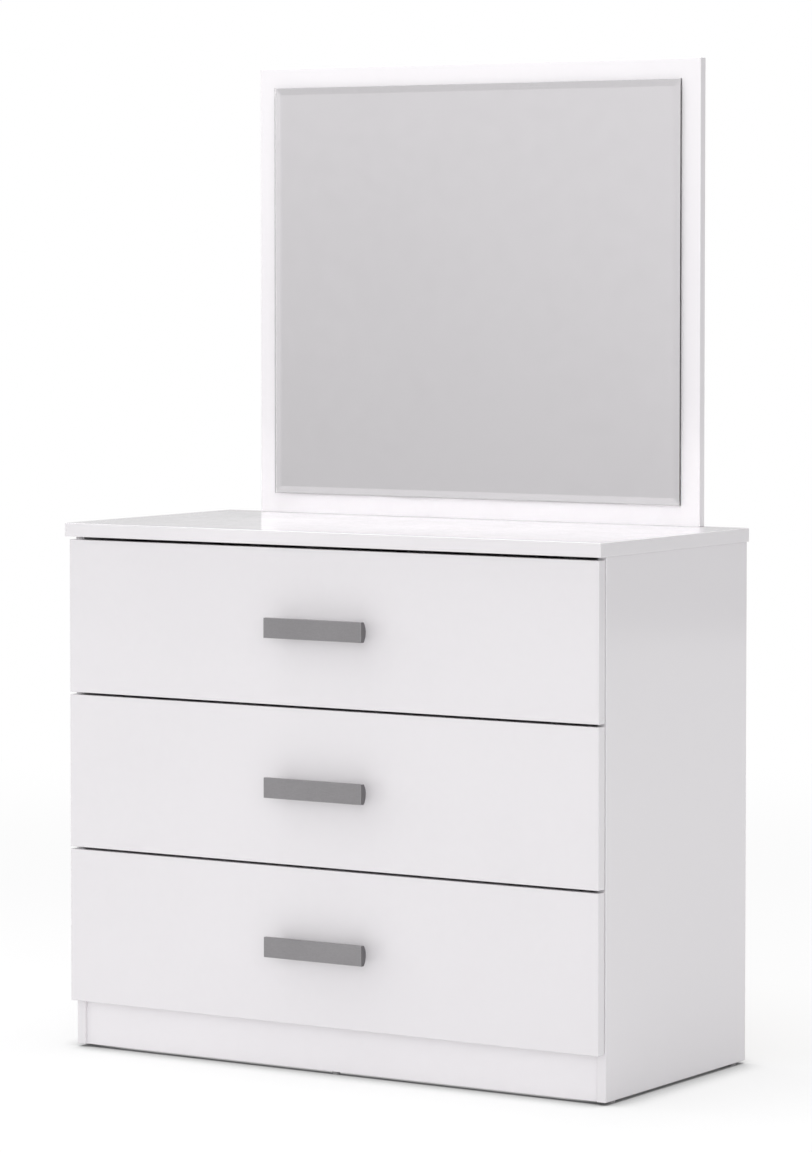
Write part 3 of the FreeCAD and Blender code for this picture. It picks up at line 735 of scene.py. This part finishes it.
@dataclass(frozen=True)
class Silvering(Finish):
    """Silver on the back of the glass, painted over behind."""

    broad: float = 1.6
    fine: float = 30.0
    peel: float = 1.5
    wave: float = 0.8
    relief: float = 0.02 * MM
    roughness: Span = (0.01, 0.02)
    silver: Colour = (0.905, 0.882, 0.905)
    clouded: Colour = (0.880, 0.857, 0.880)
    paint: Colour = (0.60, 0.61, 0.61)
    paint_span: Span = (0.4, 0.6)
    paint_roughness: float = 0.5

    def shade(self, graph: Graph, surface: bpy.types.Node) -> None:
        """Shows silver to the front and backing paint to the rear."""
        rear = graph.remap(graph.normal_parts()[1], self.paint_span, WHOLE)
        cloud = self.clouds(graph)
        silver = graph.blend(graph.remap(cloud, CLOUD_SPAN, WHOLE), self.silver, self.clouded)
        graph.feed(surface.inputs["Base Color"], graph.blend(rear, silver, self.paint))
        graph.feed(surface.inputs["Metallic"], graph.calc("SUBTRACT", 1.0, rear))
        rough = graph.remap(cloud, CLOUD_SPAN, self.roughness)
        rough = graph.calc("MULTIPLY_ADD", rear, self.paint_roughness, rough)
        graph.feed(surface.inputs["Roughness"], rough)
        self.emboss(graph, surface, self.skin(graph))


@dataclass(frozen=True)
class Finishes:
    """Every finish of the piece."""

    # The white lacquer is one finish in four tints: the fronts' is a shade darker than the mirror
    # board's as painted shade, and the plinth's and the carcass's are paler as painted light.
    front_lacquer_painted_shade: Finish = CoatedBoard(
        "front_white_lacquer_painted_shade", tint=(0.706, 0.688, 0.706), shaded=(0.695, 0.677, 0.695)
    )
    plinth_lacquer_painted_light: Finish = CoatedBoard(
        "plinth_white_lacquer_painted_light", tint=(0.771, 0.752, 0.771), shaded=(0.759, 0.740, 0.759)
    )
    mirror_lacquer: Finish = CoatedBoard("mirror_white_lacquer")
    carcass_lacquer_painted_light: Finish = CoatedBoard(
        "carcass_white_lacquer_painted_light", tint=(0.815, 0.795, 0.815), shaded=(0.802, 0.782, 0.802),
        rubbed=(0.76, 0.745, 0.76), sideways_painted_shading=(0.803, 0.783, 0.803), forward_painted_shade=(0.714, 0.696, 0.714),
    )
    melamine: Finish = CoatedBoard(
        "white_melamine", tint=(0.86, 0.85, 0.845), shaded=(0.84, 0.83, 0.825),
        roughness=(0.38, 0.46), relief=0.03 * MM, peel=900.0, dust=0.1,
    )
    back_hardboard: Finish = Hardboard("hardboard_back", printed_side=Facing.FRONT)
    bottom_hardboard: Finish = Hardboard("hardboard_bottom", printed_side=Facing.UP)
    zinc: Finish = PlatedSteel("zinc_plate")
    handle: Finish = SatinMetal("satin_grey")
    enamel: Finish = Enamel("white_enamel")
    plastic: Finish = MouldedPlastic("white_moulding")
    # The glides' dark grey is their plastic's colour and also painted shade, so that they read as the
    # shadow under the plinth.
    glide: Finish = MouldedPlastic(
        "grey_moulding_painted_shade", tint=(0.22, 0.215, 0.22), scuffed=(0.30, 0.295, 0.29)
    )
    beech: Finish = Beech("beech")
    foam: Finish = Foam("foam_tape")
    glass: Finish = FloatGlass("float_glass")
    silvering: Finish = Silvering("silvering")


def dress(nodes: Iterable[str], finish: Finish) -> None:
    """Gives solids of the model a finish.

    Args:
        nodes: Names of the solids' nodes.
        finish: The finish that they get.
    """
    for name in nodes:
        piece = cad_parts[name]
        if not piece.material_slots:
            piece.data.materials.append(finish.material())
        for slot in piece.material_slots:
            slot.material = finish.material()
        log.info("%s: %s", name, finish.name)


# Sub-assemblies


@dataclass(frozen=True)
class Chest:
    """The cabinet with its back, glides, fittings and the screws of the runners."""

    lacquered: tuple[str, ...] = ("left_side_panel", "right_side_panel", "top_panel")
    melamine: tuple[str, ...] = ("bottom_panel", "rear_plinth", "rear_top_rail")
    metal: tuple[str, ...] = ("back_panel_nails", "carcass_cam_fittings", "runner_screws")

    def dress(self, finishes: Finishes) -> None:
        """Gives every piece of the cabinet its finish.

        Args:
            finishes: The finishes to choose from.
        """
        dress(self.lacquered, finishes.carcass_lacquer_painted_light)
        dress(("front_plinth",), finishes.plinth_lacquer_painted_light)
        dress(self.melamine, finishes.melamine)
        dress(self.metal, finishes.zinc)
        dress(("back_panel",), finishes.back_hardboard)
        dress(("carcass_dowels",), finishes.beech)
        dress(("floor_glides",), finishes.glide)


class Level(Enum):
    """The three drawers, from the top down."""

    UPPER = "upper"
    MIDDLE = "middle"
    LOWER = "lower"


@dataclass(frozen=True)
class Drawer:
    """One drawer with its handle, its rails and the channels that it runs in."""

    level: Level

    def names(self, *pieces: str) -> tuple[str, ...]:
        """Names the nodes of this drawer's pieces.

        Args:
            pieces: What each piece is called within the drawer.

        Returns:
            The nodes' full names.
        """
        return tuple(f"{self.level.value}_{piece}" for piece in pieces)

    def dress(self, finishes: Finishes) -> None:
        """Gives every piece of the drawer and of its runners a finish.

        Args:
            finishes: The finishes to choose from.
        """
        box = self.names("drawer_left_side", "drawer_right_side", "drawer_back")
        steel = self.names("left_runner", "right_runner", "drawer_left_rail", "drawer_right_rail")
        dress(self.names("drawer_front"), finishes.front_lacquer_painted_shade)
        dress(box, finishes.melamine)
        dress(self.names("drawer_bottom"), finishes.bottom_hardboard)
        dress(self.names("drawer_handle"), finishes.handle)
        dress(self.names("drawer_handle_screws", "drawer_fixings"), finishes.zinc)
        dress(steel, finishes.enamel)
        dress(self.names("front_rollers", "rear_rollers"), finishes.plastic)


@dataclass(frozen=True)
class Mirror:
    """The upright board with its glass, tape and rear straps."""

    bevel_width: float = 12.0 * MM
    bevel_depth: float = 1.0 * MM
    arris: float = 0.2 * MM
    edge_land: float = 0.15 * MM
    silver_inset: float = 1.2 * MM
    silver_thickness: float = 0.12 * MM
    silver_lip: float = 0.04 * MM
    silver_gap: float = 0.02 * MM

    def rim(
        self, mesh: bmesh.types.BMesh, box: tuple[Vector, Vector], inset: float, depth: float
    ) -> list[bmesh.types.BMVert]:
        """Adds one rectangle of points, square to Y.

        Args:
            mesh: The mesh that they go into.
            box: The corners of the space that the glass fills.
            inset: How far the rectangle stays inside the box.
            depth: The rectangle's own Y.

        Returns:
            Its four points, in order round the rectangle.
        """
        low, high = box
        left, right = low.x + inset, high.x - inset
        foot, head = low.z + inset, high.z - inset
        corners = ((left, foot), (right, foot), (right, head), (left, head))
        return [mesh.verts.new((x, depth, z)) for x, z in corners]

    def slab(
        self, name: str, box: tuple[Vector, Vector], profile: Iterable[tuple[float, float]]
    ) -> bpy.types.Object:
        """Builds a flat piece from rectangles that follow each other along Y.

        Args:
            name: The piece's name.
            box: The corners of the space that the glass fills.
            profile: Each rectangle's inset and Y, from the front to the back.

        Returns:
            The new piece.
        """
        mesh = bmesh.new()
        rims = [self.rim(mesh, box, inset, depth) for inset, depth in profile]
        for near, far in zip(rims, rims[1:]):
            for index in range(len(near)):
                following = (index + 1) % len(near)
                mesh.faces.new((near[index], near[following], far[following], far[index]))
        mesh.faces.new(rims[0])
        mesh.faces.new(reversed(rims[-1]))
        bmesh.ops.recalc_face_normals(mesh, faces=mesh.faces)
        data = bpy.data.meshes.new(name)
        mesh.to_mesh(data)
        mesh.free()
        piece = bpy.data.objects.new(name, data)
        bpy.context.scene.collection.objects.link(piece)
        return piece

    def build_pane(self, finishes: Finishes) -> bpy.types.Object:
        """Builds the glass with its bevel, its ground edge and a fine arris at every corner.

        Args:
            finishes: The finishes to choose from.

        Returns:
            The pane.
        """
        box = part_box("mirror_glass")
        front, back = box[0].y, box[1].y - self.silver_thickness - 2 * self.silver_gap
        shoulder = front + self.bevel_depth
        profile = (
            (self.bevel_width, front),
            (self.arris, shoulder - self.edge_land),
            (0.0, shoulder + self.arris),
            (0.0, back - self.arris),
            (self.arris, back),
        )
        pane = self.slab("mirror_pane", box, profile)
        pane.data.materials.append(finishes.glass.material())
        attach(pane, "carcass")
        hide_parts("mirror_glass")
        return pane

    def build_silvering(self, finishes: Finishes) -> bpy.types.Object:
        """Builds the silver and its backing paint as a thin skin behind the pane.

        Args:
            finishes: The finishes to choose from.

        Returns:
            The skin.
        """
        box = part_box("mirror_glass")
        back = box[1].y - self.silver_gap
        front = back - self.silver_thickness
        profile = (
            (self.silver_inset + self.silver_lip, front),
            (self.silver_inset, front + self.silver_lip),
            (self.silver_inset, back - self.silver_lip),
            (self.silver_inset + self.silver_lip, back),
        )
        skin = self.slab("mirror_silvering", box, profile)
        skin.data.materials.append(finishes.silvering.material())
        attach(skin, "carcass")
        return skin

    def dress(self, finishes: Finishes) -> None:
        """Builds the glass and gives the other pieces their finishes.

        Args:
            finishes: The finishes to choose from.
        """
        dress(("mirror_board",), finishes.mirror_lacquer)
        dress(("mirror_straps", "mirror_strap_screws"), finishes.zinc)
        dress(("mirror_tape",), finishes.foam)
        for piece in (self.build_pane(finishes), self.build_silvering(finishes)):
            log.info("%s: built, %d faces", piece.name, len(piece.data.polygons))


# Studio


@dataclass(frozen=True)
class Lamp:
    """A flat soft lamp that looks at a point.

    The spread is the full angle of its beam in degrees, which a grid before it narrows.
    """

    name: str
    place: Triple
    target: Triple
    size: Span
    watts: float
    spread: float = 180.0

    def build(self) -> None:
        """Hangs the lamp and turns it to its target."""
        data = bpy.data.lights.new(self.name, "AREA")
        data.shape = "RECTANGLE"
        data.size, data.size_y = self.size
        data.energy = self.watts
        data.spread = math.radians(self.spread)
        lamp = bpy.data.objects.new(self.name, data)
        lamp.location = self.place
        aim = Vector(self.target) - Vector(self.place)
        lamp.rotation_euler = aim.to_track_quat("-Z", "Y").to_euler()
        bpy.context.scene.collection.objects.link(lamp)
        log.info("%s: hung", self.name)


@dataclass(frozen=True)
class Glow:
    """A large soft light far from the piece, which fades out from its middle.

    The bearing is 0 in front of the drawers and grows to the left. Both angles are degrees.
    """

    bearing: float
    height: float
    level: float
    sharpness: float = 8.0

    def towards(self) -> Triple:
        """Gives the direction of its middle."""
        turn, rise = math.radians(self.bearing), math.radians(self.height)
        return (-math.sin(turn) * math.cos(rise), -math.cos(turn) * math.cos(rise), math.sin(rise))

    def shine(self, graph: Graph, way: bpy.types.NodeSocket) -> bpy.types.NodeSocket:
        """Adds its nodes to the world.

        Args:
            graph: The world's tree.
            way: The direction that the world is seen in.

        Returns:
            The socket of its light.
        """
        facing = graph.calc("MAXIMUM", graph.dot(way, self.towards()), 0.0)
        spread = graph.calc("POWER", facing, self.sharpness)
        return graph.calc("MULTIPLY", spread, self.level)


@dataclass(frozen=True)
class Studio:
    """A photographer's studio: a white floor and backdrop, grey walls and soft lights.

    The camera sees white behind the piece. Everything else is lit by the walls, which are grey
    near the floor, paler above and darker to the right and behind, and by the soft lights.
    """

    floor_reach: float = 9.0
    floor_rings: int = 48
    floor_tint: Colour = (0.92, 0.92, 0.925)
    floor_lit_share: float = 0.28
    floor_glow: float = 0.735
    painted_contact_reach: float = 0.075
    painted_contact_span: Span = (0.15, 0.92)
    fade_span: Span = (1.6, 4.5)
    wall_level: float = 0.46
    wall_rise: float = 0.13
    wall_turn: float = 0.10
    dim_towards: Triple = (0.77, 0.64, 0.0)
    dim_span: Span = (1.0, -0.6)
    glows: tuple[Glow, ...] = (
        Glow(-32.0, 8.0, 2.85, 12.0), Glow(8.0, 4.0, 0.97, 24.0), Glow(75.0, 15.0, 1.39, 8.0),
    )
    lamps: tuple[Lamp, ...] = (
        Lamp("top_softbox", (-0.4, -1.3, 2.9), (0.0, 0.1, 0.95), (1.4, 1.4), 8.2),
        Lamp("overhead_softbox", (0.0, 0.0, 3.4), (0.0, 0.05, 0.8), (1.2, 1.2), 42.0),
        Lamp("low_strip", (0.5, -1.0, 1.15), (0.0, 0.22, 0.885), (0.8, 0.06), 0.105, 14.0),
    )

    def build_floor(self) -> None:
        """Lays a round floor that keeps the piece's cast shadow and adds painted shade where it meets
        the piece.
        """
        mesh = bmesh.new()
        bmesh.ops.create_circle(mesh, cap_ends=True, segments=self.floor_rings, radius=self.floor_reach)
        data = bpy.data.meshes.new("studio_floor")
        mesh.to_mesh(data)
        mesh.free()
        floor = bpy.data.objects.new("studio_floor", data)
        bpy.context.scene.collection.objects.link(floor)
        data.materials.append(self.floor_material())
        log.info("studio_floor: laid")

    def floor_material(self) -> bpy.types.Material:
        """Makes the floor: white to the camera, with the piece's shadow near the piece, partly cast and
        partly painted shade.

        Returns:
            The floor's material.
        """
        made = bpy.data.materials.new("studio_floor")
        made.use_nodes = True
        made.node_tree.nodes.clear()
        graph = Graph(made.node_tree)
        plain = graph.add("ShaderNodeBsdfDiffuse", {"Color": self.floor_tint})
        # Painted shade: the floor's glow dims by occlusion close to the piece, which paints a contact
        # shadow.
        painted_contact_shade = graph.add("ShaderNodeAmbientOcclusion", {"Distance": self.painted_contact_reach}, samples=8)
        glow = graph.remap(painted_contact_shade.outputs["AO"], self.painted_contact_span, (0.0, self.floor_glow))
        shine = graph.add("ShaderNodeEmission", {"Color": WHITE, "Strength": glow})
        lit = self.floor_lit_share
        dimmed = graph.add(
            "ShaderNodeBsdfDiffuse", {"Color": tuple(lit * part for part in self.floor_tint)}
        )
        near = graph.add("ShaderNodeAddShader", {0: dimmed.outputs[0], 1: shine.outputs[0]})
        spot = graph.add("ShaderNodeTexCoord").outputs["Object"]
        distance = graph.add("ShaderNodeVectorMath", {0: spot}, operation="LENGTH").outputs["Value"]
        white = graph.add("ShaderNodeEmission", {"Color": WHITE, "Strength": 1.0})
        seen = graph.add(
            "ShaderNodeMixShader",
            {
                0: graph.remap(distance, self.fade_span, WHOLE),
                1: near.outputs[0],
                2: white.outputs[0],
            },
        )
        mixed = graph.add(
            "ShaderNodeMixShader",
            {0: background_share(graph), 1: plain.outputs[0], 2: seen.outputs[0]},
        )
        graph.add("ShaderNodeOutputMaterial", {0: mixed.outputs[0]})
        return made

    def wall_light(self, graph: Graph, way: bpy.types.NodeSocket) -> bpy.types.NodeSocket:
        """Adds the walls' grey, which grows paler with height and towards the front left.

        Args:
            graph: The world's tree.
            way: The direction that the world is seen in.

        Returns:
            The socket of the walls' light.
        """
        height = graph.add("ShaderNodeSeparateXYZ", {0: way}).outputs[2]
        rise = graph.remap(height, (-self.wall_turn, self.wall_turn), (0.0, self.wall_rise))
        lit_side = graph.remap(graph.dot(way, self.dim_towards), self.dim_span, WHOLE)
        return graph.calc("MULTIPLY_ADD", rise, lit_side, self.wall_level)

    def build_walls(self) -> None:
        """Makes the world: white to the camera, walls and soft lights to the rest."""
        world = bpy.data.worlds.new("studio")
        bpy.context.scene.world = world
        world.use_nodes = True
        world.node_tree.nodes.clear()
        graph = Graph(world.node_tree)
        way = graph.add("ShaderNodeTexCoord").outputs["Generated"]
        level = self.wall_light(graph, way)
        for glow in self.glows:
            level = graph.calc("ADD", level, glow.shine(graph, way))
        walls = graph.add("ShaderNodeBackground", {"Color": WHITE, "Strength": level})
        white = graph.add("ShaderNodeBackground", {"Color": WHITE, "Strength": 1.0})
        camera_ray = graph.add("ShaderNodeLightPath").outputs["Is Camera Ray"]
        mixed = graph.add(
            "ShaderNodeMixShader", {0: camera_ray, 1: walls.outputs[0], 2: white.outputs[0]}
        )
        graph.add("ShaderNodeOutputWorld", {0: mixed.outputs[0]})

    def build(self) -> None:
        """Builds the floor, the walls and the lamps."""
        self.build_floor()
        self.build_walls()
        for lamp in self.lamps:
            lamp.build()


def background_share(graph: Graph) -> bpy.types.NodeSocket:
    """Gives 1 for rays that should see the floor as background, and 0 for the others.

    Args:
        graph: The tree of the floor's material.

    Returns:
        The share's socket.
    """
    rays = graph.add("ShaderNodeLightPath").outputs
    seen = graph.calc("MAXIMUM", rays["Is Camera Ray"], rays["Is Glossy Ray"])
    return graph.calc("MAXIMUM", seen, rays["Is Transmission Ray"])


@dataclass(frozen=True)
class Viewpoint:
    """The camera: to the right of the piece, a little above its top, with a long lens."""

    place: Triple = (3.9568, -6.1820, 1.2860)
    turn: float = 32.54
    fall: float = 2.753
    lens: float = 142.71
    sensor: float = 36.0
    rise: float = -95 / 1152
    far: float = 100.0

    def build(self) -> None:
        """Stands the camera and makes it the scene's own."""
        data = bpy.data.cameras.new("camera")
        data.lens = self.lens
        data.sensor_width = self.sensor
        data.shift_y = self.rise
        data.clip_end = self.far
        camera = bpy.data.objects.new("camera", data)
        camera.location = self.place
        camera.rotation_euler = (math.radians(90 - self.fall), 0.0, math.radians(self.turn))
        bpy.context.scene.collection.objects.link(camera)
        bpy.context.scene.camera = camera
        log.info("camera: stood")


def plain(box: Iterable[Vector]) -> list[list[float]]:
    """Turns the corners of a box into lists of numbers."""
    return [list(corner) for corner in box]


def main() -> None:
    """Builds the looks in order."""
    logging.basicConfig(level=logging.INFO, format="%(message)s")
    finishes = Finishes()
    Chest().dress(finishes)
    for level in Level:
        Drawer(level).dress(finishes)
    Mirror().dress(finishes)
    Studio().build()
    Viewpoint().build()
    bpy.context.scene.view_settings.view_transform = "Standard"


if __name__ == "__main__":
    main()
